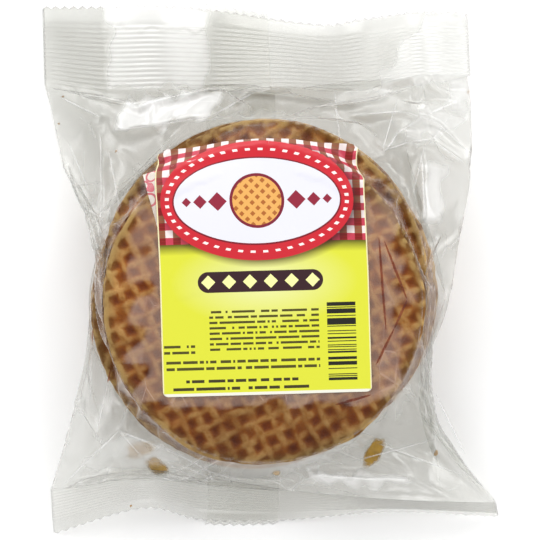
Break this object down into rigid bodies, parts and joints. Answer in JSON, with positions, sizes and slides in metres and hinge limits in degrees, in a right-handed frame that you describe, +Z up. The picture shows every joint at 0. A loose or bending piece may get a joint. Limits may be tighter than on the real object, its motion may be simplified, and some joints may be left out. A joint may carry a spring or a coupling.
{
  "type": "pack of filled waffles",
  "caption": "Sealed clear film bag holding a stack of thin round filled waffles, with crimped saw-tooth end seals, a back lap seam and a paper label on the front.",
  "frame": {"origin": "middle of the pack's footprint, on the surface it lies on", "axes": "+Y along the bag to its top seal, at the label's top edge; +X to the right of the label; +Z up, out of the label"},
  "size_m": [0.18, 0.209, 0.0408],
  "materials": {
    "film": "clear glossy film, softly creased",
    "label_paper": "printed, satin",
    "waffle": "browned crust, dull to waxy",
    "sachet_paper": "plain white, matt"
  },
  "bodies": {
    "root": {"bag": "film", "label": "label_paper"}
  },
  "joints": []
}
